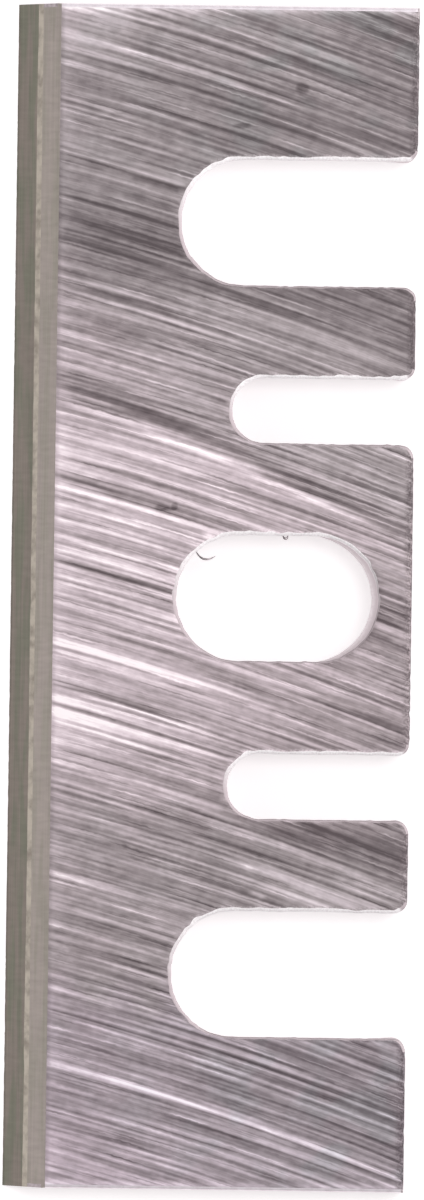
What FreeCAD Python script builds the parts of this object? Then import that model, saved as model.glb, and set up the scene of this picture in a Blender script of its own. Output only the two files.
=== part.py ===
"""Planer knife for a hand-held power planer, with a hard cutting strip brazed into a slotted back.

The knife lies on its flat face. X runs along the cutting edge, Y from the cutting edge to the heel
and Z up through the thickness. The origin is in the middle of the flat face. The cutting edge is the
sharp corner at the lowest Y, and the ground bevel rises from it to the upper face.

Three pieces make the knife:
  knife_body     the mild steel back with its slots, rebated under the front for the strip
  cutting_strip  the hard steel strip that holds the cutting edge
  braze_seam     the filler above and behind the strip, which shows as a pale line on the bevel
"""

import math
import os

import FreeCAD
import Part
import Sketcher

HALF_TURN = math.pi
ORIGIN = -1
START, END, CENTRE = 1, 2, 3
TOUCH = 1e-4

# Driving dimensions, in millimetres and degrees
SIZES = [
    ("blade_length", 82.0, "along the cutting edge"),
    ("blade_width", 27.8, "from the cutting edge to the heel"),
    ("blade_thickness", 3.0, "flat face to upper face"),
    ("bevel_angle", 45.0, "ground bevel, measured from the flat face"),
    ("strip_width", 9.0, "hard strip, from the cutting edge to its back"),
    ("strip_thickness", 1.4, "hard strip"),
    ("braze_thickness", 0.35, "filler between the strip and the back above it"),
    ("braze_heel_gap", 0.3, "filler between the strip and the shoulder behind it"),
    ("bolt_pitch", 26.0, "from one clamping bolt to the next"),
    ("bolt_slot_width", 8.7, "wide slots and the centre slot"),
    ("bolt_slot_setback", 11.5, "from the cutting edge to the closed ends of the wide slots"),
    ("centre_slot_web", 2.3, "steel left between the centre slot and the heel"),
    ("screw_pitch", 26.0, "from one adjusting screw to the other"),
    ("screw_slot_width", 4.5, "narrow slots"),
    ("screw_slot_setback", 15.2, "from the cutting edge to the closed ends of the narrow slots"),
    ("mouth_radius", 0.9, "rounded corners where a slot opens at the heel"),
    ("end_break", 0.25, "chamfer on the upper edges of both ends"),
    ("rim_break", 0.15, "chamfer on the slot rims and the heel, above and below"),
    ("cutter_runout", 2.0, "how far the slot cuts run past the heel"),
]

# Places that several features share, worked out from the sizes above
FRONT = "(-Sizes.blade_width / 2)"
HEEL = "(Sizes.blade_width / 2)"
BEVEL_RUN = "(Sizes.blade_thickness / tan(Sizes.bevel_angle))"
STRIP_BEVEL_RUN = "(Sizes.strip_thickness / tan(Sizes.bevel_angle))"
REBATE_DEPTH = "(Sizes.strip_thickness + Sizes.braze_thickness)"
REBATE_BEVEL_RUN = f"({REBATE_DEPTH} / tan(Sizes.bevel_angle))"
SHOULDER = f"({FRONT} + Sizes.strip_width + Sizes.braze_heel_gap)"
STRIP_BACK = f"({FRONT} + Sizes.strip_width)"


def make_sheet(doc):
    """The sheet of driving dimensions, one named cell for each."""
    sheet = doc.addObject("Spreadsheet::Sheet", "Sizes")
    for row, (name, value, note) in enumerate(SIZES, start=1):
        sheet.set(f"A{row}", name)
        sheet.set(f"B{row}", str(value))
        sheet.set(f"C{row}", note)
        sheet.setAlias(f"B{row}", name)
    doc.recompute()
    return sheet


def make_body(doc, name):
    """An empty body whose label is the piece's name."""
    body = doc.addObject("PartDesign::Body", name)
    body.Label = name
    return body


def origin_plane(body, role):
    """One of the body's own base planes, such as XY_Plane."""
    return next(item for item in body.Origin.OriginFeatures if item.Role == role)


def make_sketch(body, name, role):
    """A sketch lying on one of the body's own base planes."""
    sketch = body.newObject("Sketcher::SketchObject", name)
    sketch.AttachmentSupport = [(origin_plane(body, role), "")]
    sketch.MapMode = "FlatFace"
    return sketch


def drive(sketch, name, expression, constraint):
    """Adds a dimension to the sketch and ties it to the sheet."""
    index = sketch.addConstraint(constraint)
    sketch.renameConstraint(index, name)
    sketch.setExpression(f"Constraints.{name}", expression)


def place(sketch, name, geometry, point, across, up):
    """Ties one point of the sketch to its distances from the origin."""
    spot = sketch.getPoint(geometry, point)
    drive(sketch, f"{name}_across", across,
          Sketcher.Constraint("DistanceX", ORIGIN, START, geometry, point, spot.x))
    drive(sketch, f"{name}_up", up,
          Sketcher.Constraint("DistanceY", ORIGIN, START, geometry, point, spot.y))


def value_of(sheet, expression):
    """What an expression on the sheet comes to, as a starting place for the sketch solver."""
    return float(sheet.evalExpression(expression))


def half_circle(centre, radius, start):
    """Half a circle, drawn anticlockwise from the start angle."""
    circle = Part.Circle(centre, FreeCAD.Vector(0, 0, 1), radius)
    return Part.ArcOfCircle(circle, start, start + HALF_TURN)


def draw_section(sheet, sketch, corners):
    """A closed outline of straight lines through named corners, each tied to the sheet."""
    spots = [FreeCAD.Vector(value_of(sheet, across), value_of(sheet, up), 0) for _, across, up in corners]
    for start, end in zip(spots, spots[1:] + spots[:1]):
        sketch.addGeometry(Part.LineSegment(start, end))
    for index in range(len(corners)):
        following = (index + 1) % len(corners)
        sketch.addConstraint(Sketcher.Constraint("Coincident", index, END, following, START))
    for index, (name, across, up) in enumerate(corners):
        place(sketch, name, index, START, across, up)


def pad_section(sheet, body, corners):
    """A bar of the given section, as long as the knife and centred on its length."""
    sketch = make_sketch(body, f"{body.Name}_section", "YZ_Plane")
    draw_section(sheet, sketch, corners)
    pad = body.newObject("PartDesign::Pad", f"{body.Name}_bar")
    pad.Profile = sketch
    pad.Midplane = True
    pad.setExpression("Length", "Sizes.blade_length")
    return pad


def draw_open_slot(sheet, sketch, centre, width, setback):
    """A slot with a round closed end whose straight walls run out past the heel."""
    half = f"({width} / 2)"
    bottom = f"({FRONT} + {setback} + {half})"
    outside = f"({HEEL} + Sizes.cutter_runout)"
    middle, reach, low, top = (value_of(sheet, item) for item in (centre, half, bottom, outside))
    left_out = FreeCAD.Vector(middle - reach, top, 0)
    right_out = FreeCAD.Vector(middle + reach, top, 0)
    round_end = half_circle(FreeCAD.Vector(middle, low, 0), reach, HALF_TURN)

    end = sketch.addGeometry(round_end)
    right_wall = sketch.addGeometry(Part.LineSegment(round_end.EndPoint, right_out))
    lid = sketch.addGeometry(Part.LineSegment(right_out, left_out))
    left_wall = sketch.addGeometry(Part.LineSegment(left_out, round_end.StartPoint))
    sketch.addConstraint([
        Sketcher.Constraint("Tangent", end, END, right_wall, START),
        Sketcher.Constraint("Coincident", right_wall, END, lid, START),
        Sketcher.Constraint("Coincident", lid, END, left_wall, START),
        Sketcher.Constraint("Tangent", left_wall, END, end, START),
        Sketcher.Constraint("Vertical", right_wall),
        Sketcher.Constraint("Vertical", left_wall),
        Sketcher.Constraint("Horizontal", lid),
    ])
    drive(sketch, "end_radius", half, Sketcher.Constraint("Radius", end, reach))
    place(sketch, "end", end, CENTRE, centre, bottom)
    drive(sketch, "run_out", outside, Sketcher.Constraint("DistanceY", ORIGIN, START, lid, START, top))


def draw_centre_slot(sheet, sketch):
    """The closed round-ended slot for the middle bolt, in line with the knife's width."""
    half = "(Sizes.bolt_slot_width / 2)"
    front = f"({FRONT} + Sizes.bolt_slot_setback + {half})"
    back = f"({HEEL} - Sizes.centre_slot_web - {half})"
    reach, low, high = (value_of(sheet, item) for item in (half, front, back))
    front_round = half_circle(FreeCAD.Vector(0, low, 0), reach, HALF_TURN)
    back_round = half_circle(FreeCAD.Vector(0, high, 0), reach, 0)

    front_end = sketch.addGeometry(front_round)
    right_wall = sketch.addGeometry(Part.LineSegment(front_round.EndPoint, back_round.StartPoint))
    back_end = sketch.addGeometry(back_round)
    left_wall = sketch.addGeometry(Part.LineSegment(back_round.EndPoint, front_round.StartPoint))
    sketch.addConstraint([
        Sketcher.Constraint("Tangent", front_end, END, right_wall, START),
        Sketcher.Constraint("Tangent", right_wall, END, back_end, START),
        Sketcher.Constraint("Tangent", back_end, END, left_wall, START),
        Sketcher.Constraint("Tangent", left_wall, END, front_end, START),
        Sketcher.Constraint("Equal", front_end, back_end),
    ])
    drive(sketch, "end_radius", half, Sketcher.Constraint("Radius", front_end, reach))
    place(sketch, "front", front_end, CENTRE, "0", front)
    place(sketch, "back", back_end, CENTRE, "0", back)


def cut_through(doc, body, sketch):
    """Cuts the sketch's outline up through the whole knife and checks that steel came away."""
    doc.recompute()
    before = body.Shape.Volume
    pocket = body.newObject("PartDesign::Pocket", f"{sketch.Name}_cut")
    pocket.Profile = sketch
    pocket.Reversed = True
    pocket.setExpression("Length", "Sizes.blade_thickness")
    doc.recompute()
    if body.Shape.Volume > before - TOUCH:
        raise RuntimeError(f"{pocket.Name} cut nothing")
    return pocket


def lies_at(box, height):
    """Whether an edge's box lies flat at the given height."""
    return abs(box.ZMin - height) < TOUCH and abs(box.ZMax - height) < TOUCH


def mouth_edges(sheet, shape):
    """Names of the upright corners where the slot walls meet the heel."""
    half_length, heel = value_of(sheet, "Sizes.blade_length / 2"), value_of(sheet, HEEL)
    names = []
    for number, edge in enumerate(shape.Edges, start=1):
        box = edge.BoundBox
        upright = box.ZLength > TOUCH and box.XLength < TOUCH and box.YLength < TOUCH
        if upright and abs(box.YMin - heel) < TOUCH and abs(box.XMin) < half_length - TOUCH:
            names.append(f"Edge{number}")
    return names


def end_edges(sheet, shape):
    """Names of the upper face's edges along both ends of the knife."""
    thickness, half_length = value_of(sheet, "Sizes.blade_thickness"), value_of(sheet, "Sizes.blade_length / 2")
    names = []
    for number, edge in enumerate(shape.Edges, start=1):
        box = edge.BoundBox
        if lies_at(box, thickness) and box.XLength < TOUCH and abs(box.XMin) > half_length - TOUCH:
            names.append(f"Edge{number}")
    return names


def rim_edges(sheet, shape):
    """Names of the edges round every slot and along the heel, on the upper face and the flat one."""
    thickness, bevel_top = value_of(sheet, "Sizes.blade_thickness"), value_of(sheet, f"{FRONT} + {BEVEL_RUN}")
    shoulder, inner = value_of(sheet, SHOULDER), value_of(sheet, "Sizes.blade_length / 2 - Sizes.end_break")
    names = []
    for number, edge in enumerate(shape.Edges, start=1):
        box = edge.BoundBox
        along_end = box.XLength < TOUCH and abs(box.XMin) > inner - TOUCH
        upper_rim = lies_at(box, thickness) and box.YMax > bevel_top + TOUCH
        flat_rim = lies_at(box, 0) and box.YMax > shoulder + TOUCH
        if not along_end and (upper_rim or flat_rim):
            names.append(f"Edge{number}")
    return names


def dress_edges(doc, body, kind, name, names, setting, size):
    """Rounds or chamfers the named edges of the body as it stands."""
    last = body.Tip
    dressing = body.newObject(f"PartDesign::{kind}", name)
    dressing.Base = (last, names)
    dressing.setExpression(setting, size)
    body.Tip = dressing
    doc.recompute()


def make_knife_body(doc, sheet):
    """The slotted back: a bevelled bar with a rebate under its front, three wide and two narrow slots."""
    body = make_body(doc, "knife_body")
    pad_section(sheet, body, [
        ("rebate_front", f"{FRONT} + {REBATE_BEVEL_RUN}", REBATE_DEPTH),
        ("rebate_back", SHOULDER, REBATE_DEPTH),
        ("shoulder", SHOULDER, "0"),
        ("heel_low", HEEL, "0"),
        ("heel_high", HEEL, "Sizes.blade_thickness"),
        ("bevel_top", f"{FRONT} + {BEVEL_RUN}", "Sizes.blade_thickness"),
    ])

    wide = make_sketch(body, "bolt_slot", "XY_Plane")
    draw_open_slot(sheet, wide, "Sizes.bolt_pitch", "Sizes.bolt_slot_width", "Sizes.bolt_slot_setback")
    wide_cut = cut_through(doc, body, wide)
    narrow = make_sketch(body, "screw_slot", "XY_Plane")
    draw_open_slot(sheet, narrow, "Sizes.screw_pitch / 2", "Sizes.screw_slot_width", "Sizes.screw_slot_setback")
    narrow_cut = cut_through(doc, body, narrow)

    other_half = body.newObject("PartDesign::Mirrored", "other_half_slots")
    other_half.Originals = [wide_cut, narrow_cut]
    other_half.MirrorPlane = (origin_plane(body, "YZ_Plane"), [""])
    body.Tip = other_half

    centre = make_sketch(body, "centre_slot", "XY_Plane")
    draw_centre_slot(sheet, centre)
    cut_through(doc, body, centre)

    mouths = mouth_edges(sheet, body.Shape)
    dress_edges(doc, body, "Fillet", "rounded_mouths", mouths, "Radius", "Sizes.mouth_radius")
    ends = end_edges(sheet, body.Shape)
    dress_edges(doc, body, "Chamfer", "broken_ends", ends, "Size", "Sizes.end_break")
    rims = rim_edges(sheet, body.Shape)
    dress_edges(doc, body, "Chamfer", "broken_rims", rims, "Size", "Sizes.rim_break")
    return body


def make_cutting_strip(doc, sheet):
    """The hard strip: its front is ground to the bevel and ends in the cutting edge."""
    body = make_body(doc, "cutting_strip")
    pad_section(sheet, body, [
        ("cutting_edge", FRONT, "0"),
        ("back_low", STRIP_BACK, "0"),
        ("back_high", STRIP_BACK, "Sizes.strip_thickness"),
        ("bevel_top", f"{FRONT} + {STRIP_BEVEL_RUN}", "Sizes.strip_thickness"),
    ])
    return body


def make_braze_seam(doc, sheet):
    """The filler: a thin layer over the strip that turns down behind it to the flat face."""
    body = make_body(doc, "braze_seam")
    pad_section(sheet, body, [
        ("strip_front", f"{FRONT} + {STRIP_BEVEL_RUN}", "Sizes.strip_thickness"),
        ("strip_corner", STRIP_BACK, "Sizes.strip_thickness"),
        ("strip_foot", STRIP_BACK, "0"),
        ("shoulder_foot", SHOULDER, "0"),
        ("shoulder_corner", SHOULDER, REBATE_DEPTH),
        ("back_front", f"{FRONT} + {REBATE_BEVEL_RUN}", REBATE_DEPTH),
    ])
    return body


def check(doc, bodies):
    """Stops if any object failed to build or any piece isn't one sound solid."""
    for item in doc.Objects:
        if "Invalid" in item.State or "Error" in item.State:
            raise RuntimeError(f"{item.Name} failed: {item.State}")
    for body in bodies:
        shape = body.Shape
        if shape.isNull() or not shape.isValid() or len(shape.Solids) != 1:
            raise RuntimeError(f"{body.Label} isn't one sound solid")


def main():
    """Builds the three pieces and writes each to its own STEP file."""
    doc = FreeCAD.newDocument("planer_knife")
    sheet = make_sheet(doc)
    bodies = [make_knife_body(doc, sheet), make_cutting_strip(doc, sheet), make_braze_seam(doc, sheet)]
    doc.recompute()
    check(doc, bodies)
    os.makedirs("parts", exist_ok=True)
    for body in bodies:
        body.Shape.exportStep(f"parts/{body.Label}.step")
        print(f"{body.Label}: {body.Shape.Volume:.1f} mm3, {len(body.Shape.Faces)} faces")


main()
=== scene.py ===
"""Looks of a slotted planer knife: a coarse ground steel back with a hard strip brazed under its bevel."""

import logging
import math
from dataclasses import dataclass, field
from enum import Enum, IntEnum
from typing import Callable, Sequence

import bmesh
import bpy
import numpy as np
from mathutils import Matrix, Vector
from mathutils.geometry import delaunay_2d_cdt
from mathutils.kdtree import KDTree


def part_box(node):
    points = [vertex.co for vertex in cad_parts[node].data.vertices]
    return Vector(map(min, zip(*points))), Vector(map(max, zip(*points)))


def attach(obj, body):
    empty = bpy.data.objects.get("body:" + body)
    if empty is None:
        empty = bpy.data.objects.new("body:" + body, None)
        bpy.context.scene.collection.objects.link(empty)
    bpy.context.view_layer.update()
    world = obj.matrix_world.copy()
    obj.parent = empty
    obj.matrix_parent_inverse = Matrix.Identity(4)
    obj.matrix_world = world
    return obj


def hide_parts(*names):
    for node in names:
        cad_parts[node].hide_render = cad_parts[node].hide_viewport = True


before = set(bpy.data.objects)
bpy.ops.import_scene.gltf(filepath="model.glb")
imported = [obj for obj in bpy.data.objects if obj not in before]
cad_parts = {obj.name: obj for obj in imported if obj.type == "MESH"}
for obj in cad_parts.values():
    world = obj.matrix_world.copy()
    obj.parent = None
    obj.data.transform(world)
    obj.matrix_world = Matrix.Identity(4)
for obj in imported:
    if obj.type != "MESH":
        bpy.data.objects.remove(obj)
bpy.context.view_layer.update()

LOG = logging.getLogger("planer_knife")
MM = 0.001  # metres in a millimetre
BODY = "root"
SCORE_ATTRIBUTE = "score"
# mesh attribute of painted light: highlight and shade on rims, reflection of the floor on slot walls
PAINTED_LIGHT_ATTRIBUTE = "pale"
NOISE_ROUGHNESS = 0.55  # strength of each finer wave, as a share of the one before

Colour = tuple[float, float, float, float]
Place = tuple[float, float]
Span = tuple[float, float]
Profile = Sequence[Place]


class Seed(IntEnum):
    """Where the random courses and lines of each surface start."""

    BEVEL_MARKS = 5
    SCORES = 20
    SEAM_TOP = 31
    SEAM_FOOT = 47
    HEEL = 61
    EDGE_NICKS = 71
    MIDDLE_SLOT = 80
    BURR = 91


def tint(red: float, green: float, blue: float) -> Colour:
    """Turns a colour as a screen shows it into the light values that shaders take.

    Args:
        red, green, blue: Parts from 0 to 255.

    Returns:
        The linear colour, with full alpha.
    """
    parts = [part / 255 for part in (red, green, blue)]
    # The screen's curve: straight near black, and a power above that.
    linear = [part / 12.92 if part <= 0.04045 else ((part + 0.055) / 1.055) ** 2.4 for part in parts]
    return (linear[0], linear[1], linear[2], 1.0)


def placed(name: str, data: bpy.types.ID) -> bpy.types.Object:
    """Puts a new object with the given data into the scene.

    Args:
        name: The object's name.
        data: Its mesh, lamp or camera.

    Returns:
        The object.
    """
    made = bpy.data.objects.new(name, data)
    bpy.context.scene.collection.objects.link(made)
    return made


# Shader writing


class Value:
    """A number that varies over a surface. Sums and products of values add their Math nodes."""

    def __init__(self, shader: "Shader", socket: bpy.types.NodeSocket) -> None:
        """Wraps one output socket of the shader's tree."""
        self.shader = shader
        self.socket = socket

    def _math(self, operation: str, first: "Value | float", second: "Value | float") -> "Value":
        """Adds one Math node on two operands."""
        made = self.shader.node("ShaderNodeMath", {"operation": operation}, {0: first, 1: second})
        return Value(self.shader, made.outputs[0])

    def __add__(self, other: "Value | float") -> "Value":
        """Gives self + other."""
        return self._math("ADD", self, other)

    __radd__ = __add__

    def __sub__(self, other: "Value | float") -> "Value":
        """Gives self - other."""
        return self._math("SUBTRACT", self, other)

    def __rsub__(self, other: "Value | float") -> "Value":
        """Gives other - self."""
        return self._math("SUBTRACT", other, self)

    def __mul__(self, other: "Value | float") -> "Value":
        """Gives self * other."""
        return self._math("MULTIPLY", self, other)

    __rmul__ = __mul__

    def __truediv__(self, other: "Value | float") -> "Value":
        """Gives self / other."""
        return self._math("DIVIDE", self, other)

    def __rtruediv__(self, other: "Value | float") -> "Value":
        """Gives other / self."""
        return self._math("DIVIDE", other, self)

    def highest(self, other: "Value | float") -> "Value":
        """Gives the larger of self and other."""
        return self._math("MAXIMUM", self, other)

    def rise(self, low: float, high: float) -> "Value":
        """Goes smoothly from 0, where self is low, to 1, where it is high."""
        made = self.shader.node(
            "ShaderNodeMapRange",
            {"interpolation_type": "SMOOTHSTEP"},
            {"Value": self, "From Min": low, "From Max": high},
        )
        return Value(self.shader, made.outputs["Result"])


class Shader:
    """Writes the node tree of one material or world."""

    def __init__(self, holder: bpy.types.Material | bpy.types.World) -> None:
        """Empties the tree that it writes.

        Args:
            holder: The material or world whose tree it is.
        """
        holder.use_nodes = True
        self.tree = holder.node_tree
        self.tree.nodes.clear()

    def node(self, kind: str, settings: dict | None = None, inputs: dict | None = None) -> bpy.types.Node:
        """Adds a node, sets it up and then fills its sockets.

        Args:
            kind: The node's Blender type.
            settings: Properties by name; "stops" gives a ramp's (place, colour) pairs.
            inputs: Socket values by name or number; a Value or a socket is linked.

        Returns:
            The node.
        """
        made = self.tree.nodes.new(kind)
        for name, setting in (settings or {}).items():
            if name == "stops":
                self._set_stops(made.color_ramp, setting)
            else:
                setattr(made, name, setting)
        for key, given in (inputs or {}).items():
            socket = made.inputs[key] if isinstance(key, int) else next(
                place for place in made.inputs if place.name == key and place.enabled
            )
            source = given.socket if isinstance(given, Value) else given
            if isinstance(source, bpy.types.NodeSocket):
                self.tree.links.new(source, socket)
            else:
                socket.default_value = source
        return made

    @staticmethod
    def _set_stops(ramp: bpy.types.ColorRamp, stops: Sequence[tuple[float, Colour]]) -> None:
        """Gives a ramp its stops.

        Args:
            ramp: The ramp of a new node.
            stops: Places from 0 to 1 with their colours, from left to right.
        """
        while len(ramp.elements) < len(stops):
            ramp.elements.new(1.0)
        for element, (place, colour) in zip(ramp.elements, stops):
            element.position, element.color = place, colour

    def place(self) -> tuple[Value, Value, Value]:
        """Gives a point's place on the knife.

        Returns:
            Its measures in millimetres along, across and up.
        """
        source = self.node("ShaderNodeTexCoord").outputs["Object"]
        scaled = self.node(
            "ShaderNodeVectorMath", {"operation": "SCALE"}, {"Vector": source, "Scale": 1 / MM}
        )
        parts = self.node("ShaderNodeSeparateXYZ", None, {"Vector": scaled.outputs["Vector"]})
        x, y, z = (Value(self, parts.outputs[axis]) for axis in "XYZ")
        return x, y, z

    def noise(self, across: Value, along: Value, depth: Value | float, detail: float = 2.0) -> Value:
        """Gives smooth noise with one lump to a unit of its coordinates.

        Args:
            across, along, depth: The coordinates.
            detail: How many finer waves it has.

        Returns:
            The noise, from about 0.2 to 0.8.
        """
        point = self.node("ShaderNodeCombineXYZ", None, {"X": across, "Y": along, "Z": depth})
        made = self.node(
            "ShaderNodeTexNoise",
            {"noise_dimensions": "3D"},
            {"Vector": point.outputs["Vector"], "Scale": 1.0, "Detail": detail, "Roughness": NOISE_ROUGHNESS},
        )
        return Value(self, made.outputs["Fac"])

    def mark(self, attribute: str) -> Value:
        """Gives what a mesh says of its points under an attribute's name."""
        return Value(self, self.node("ShaderNodeAttribute", {"attribute_name": attribute}).outputs["Fac"])

    def ramp(self, factor: Value, stops: Sequence[tuple[float, Colour]]) -> bpy.types.NodeSocket:
        """Gives the colour that a ramp has at factor."""
        return self.node("ShaderNodeValToRGB", {"stops": stops}, {"Fac": factor}).outputs["Color"]

    def blend(
        self,
        factor: Value | float,
        first: bpy.types.NodeSocket | Colour,
        second: bpy.types.NodeSocket | Colour,
        kind: str = "MIX",
    ) -> bpy.types.NodeSocket:
        """Mixes two colours.

        Args:
            factor: Share of the second colour.
            first: Colour at factor 0.
            second: Colour at factor 1, or what the first is multiplied by.
            kind: The Mix node's way of blending.

        Returns:
            The mixed colour's socket.
        """
        made = self.node(
            "ShaderNodeMix",
            {"data_type": "RGBA", "blend_type": kind},
            {"Factor": factor, "A": first, "B": second},
        )
        return next(place for place in made.outputs if place.enabled)

    def bump(self, height: Value, depth: float) -> bpy.types.NodeSocket:
        """Turns a height from 0 to 1 into a normal; depth is in metres."""
        made = self.node("ShaderNodeBump", None, {"Height": height, "Distance": depth, "Strength": 1.0})
        return made.outputs["Normal"]


class Finish:
    """A way that a surface is finished. Each kind says how it paints itself."""

    def paint(self, shader: Shader) -> dict:
        """Adds the finish's nodes and gives the Principled shader's inputs by name."""
        raise NotImplementedError

    def material(self, name: str) -> bpy.types.Material:
        """Makes the finish's material.

        Args:
            name: The material's name.

        Returns:
            The new material.
        """
        made = bpy.data.materials.new(name)
        shader = Shader(made)
        surface = shader.node("ShaderNodeBsdfPrincipled", None, self.paint(shader))
        shader.node("ShaderNodeOutputMaterial", None, {"Surface": surface.outputs["BSDF"]})
        return made


# The knife's section


@dataclass(frozen=True)
class Blade:
    """Places on the section that the knife's three pieces share, in millimetres, read from the solids.

    Attributes:
        half: Half the knife's length.
        front, heel: Y of the cutting edge and of the heel.
        thickness: Height of the face.
        strip_back, strip_thickness: Y of the hard strip's back, and height of its top.
        shoulder, roof: Y of the rebate's shoulder, and height of its roof.
        step: Longest run of the mesh along the knife.
        bevel_step, rebate_step, hidden_step: Longest run on the bevel, in the rebate and on other
            surfaces that don't show.
        seam_ripples: Length and height of the waves in the seam's borders.
        mark_wave, mark_depth: Length and depth of the marks across the bevel.
    """

    half: float
    front: float
    heel: float
    thickness: float
    strip_back: float
    strip_thickness: float
    shoulder: float
    roof: float
    step: float = 0.16
    bevel_step: float = 0.22
    rebate_step: float = 1.9
    hidden_step: float = 1.5
    seam_ripples: tuple[Span, ...] = ((2.6, 0.011), (0.7, 0.005))
    mark_wave: float = 0.32
    mark_depth: float = 0.0011

    @property
    def bevel_top(self) -> float:
        """Where the bevel, at 45 degrees, meets the face."""
        return self.front + self.thickness

    @staticmethod
    def measured() -> "Blade":
        """Reads the section's places from the solids' boxes.

        Returns:
            The blade.
        """
        (_, back_high), (strip_low, strip_high), (_, seam_high) = (
            [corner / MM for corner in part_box(node)] for node in ("knife_body", "cutting_strip", "braze_seam")
        )
        return Blade(
            half=back_high.x,
            front=strip_low.y,
            heel=back_high.y,
            thickness=back_high.z,
            strip_back=strip_high.y,
            strip_thickness=strip_high.z,
            shoulder=seam_high.y,
            roof=seam_high.z,
        )

    def stations(self, half: float) -> np.ndarray:
        """Even places along the knife, from -half to half."""
        return np.linspace(-half, half, round(2 * half / self.step) + 1)

    def course(self, seed: int, wave: float, x: np.ndarray) -> np.ndarray:
        """Gives a random course along the knife, with knots a wave apart, at x."""
        return Wander(seed, wave, 2 * self.half).at(x + self.half)

    def waver(self, x: np.ndarray, border: Seed) -> np.ndarray:
        """Gives how far a border of the brazed seam has strayed up the bevel."""
        ripples = enumerate(self.seam_ripples)
        return sum(self.course(border + number, wave, x) * height for number, (wave, height) in ripples)

    def slope_points(self, start: float, end: float) -> np.ndarray:
        """Gives the bevel's section from one height to another."""
        return line_points([(start + self.front, start), (end + self.front, end)], self.bevel_step)

    def rebate_points(self) -> np.ndarray:
        """Gives the rebate's section, from the bevel along its roof and down its shoulder."""
        corners = ((self.roof + self.front, self.roof), (self.shoulder, self.roof), (self.shoulder, 0.0))
        return line_points(corners, self.rebate_step)

    @staticmethod
    def swept(section: np.ndarray, x: np.ndarray) -> np.ndarray:
        """Repeats a section along the knife.

        Args:
            section: The section's points, as Y and Z.
            x: Places along the knife.

        Returns:
            The points, one row along the knife for each point of the section.
        """
        rows = np.zeros((len(section), len(x), 3))
        rows[..., 0] = x
        rows[..., 1:] = section[:, None, :]
        return rows

    def grind(self, rows: np.ndarray, stray: np.ndarray, share: np.ndarray | float = 1.0) -> None:
        """Moves bevel points: up the bevel by stray, and into it by the depth of its marks.

        Args:
            rows: The bevel's points, changed in place.
            stray: Move up the bevel for each point, measured in plan.
            share: Share of the marks' depth for each row.
        """
        marks = self.course(Seed.BEVEL_MARKS, self.mark_wave, rows[..., 0])
        depth = self.mark_depth * (STRAY_LIMIT + held(marks)) * share
        rows[..., 1] += stray + depth
        rows[..., 2] += stray - depth


# Finishes


@dataclass(frozen=True)
class Lay:
    """The course of grinding lines over the face: shallow arcs that lean along the knife."""

    slope: float = 0.308
    curve: float = 0.00253

    def drift(self, y: "np.ndarray | Value | float", turn: float = 0.0) -> "np.ndarray | Value | float":
        """Gives how far along the knife a line has moved at y, in millimetres."""
        return y * (self.slope + turn) + y * y * self.curve

    def across(
        self, x: "np.ndarray | Value", y: "np.ndarray | Value", turn: float = 0.0
    ) -> "np.ndarray | Value":
        """Gives a place's measure across the lines; turn leans them further."""
        return x - self.drift(y, turn)

    def flattened(self, points: np.ndarray, step: np.ndarray) -> np.ndarray:
        """Lays points out in plan with the lines straight, one lattice step a unit."""
        return np.stack([self.across(points[:, 0], points[:, 1]), points[:, 1]], -1) / step

    def lifted(self, flat: np.ndarray, step: np.ndarray, height: float) -> np.ndarray:
        """Turns places so laid out back into points at a height."""
        across, y = (flat * step).T
        return np.stack([across + self.drift(y), y, np.full(len(y), height)], -1)


@dataclass(frozen=True)
class Streaks:
    """One layer of streaks: noise drawn out along the lay, its sizes in millimetres."""

    APART = (7.3, 40.0)  # sets layers apart in the noise, by their widths and their turns

    width: float
    length: float
    strength: float
    turn: float = 0.0
    detail: float = 2.0

    def tone(self, shader: Shader, lay: Lay, x: Value, y: Value) -> Value:
        """Adds the layer's noise.

        Args:
            shader: Writes the tree.
            lay: The course of the lines.
            x, y: The place on the knife.

        Returns:
            The layer's change of tone, around 0.
        """
        across = lay.across(x, y, self.turn) / self.width
        depth = self.APART[0] * self.width + self.APART[1] * self.turn
        return (shader.noise(across, y / self.length, depth, self.detail) - 0.5) * self.strength


@dataclass(frozen=True)
class Speckle:
    """One layer of lumps: their size along and across the knife, and what sets the layer apart."""

    along: float
    across: float
    depth: float
    detail: float = 1.0

    def at(self, shader: Shader, x: Value, y: Value) -> Value:
        """Gives the layer's noise at a place, from about 0.2 to 0.8."""
        return shader.noise(x / self.along, y / self.across, self.depth, self.detail)


@dataclass(frozen=True)
class Nick:
    """A small dark dent in a ground face: its place and reach along and across the knife."""

    SOFT_EDGE = 1.6  # square of the distance at which the dent ends, in shares of its reach

    x: float
    y: float
    along: float
    across: float

    def depth(self, shader: Shader, x: Value, y: Value) -> Value:
        """Gives how deep the dent is at a place, from 0 to 1."""
        side, front = (x - self.x) / self.along, (y - self.y) / self.across
        return 1.0 - (side * side + front * front).rise(0.0, self.SOFT_EDGE)


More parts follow.
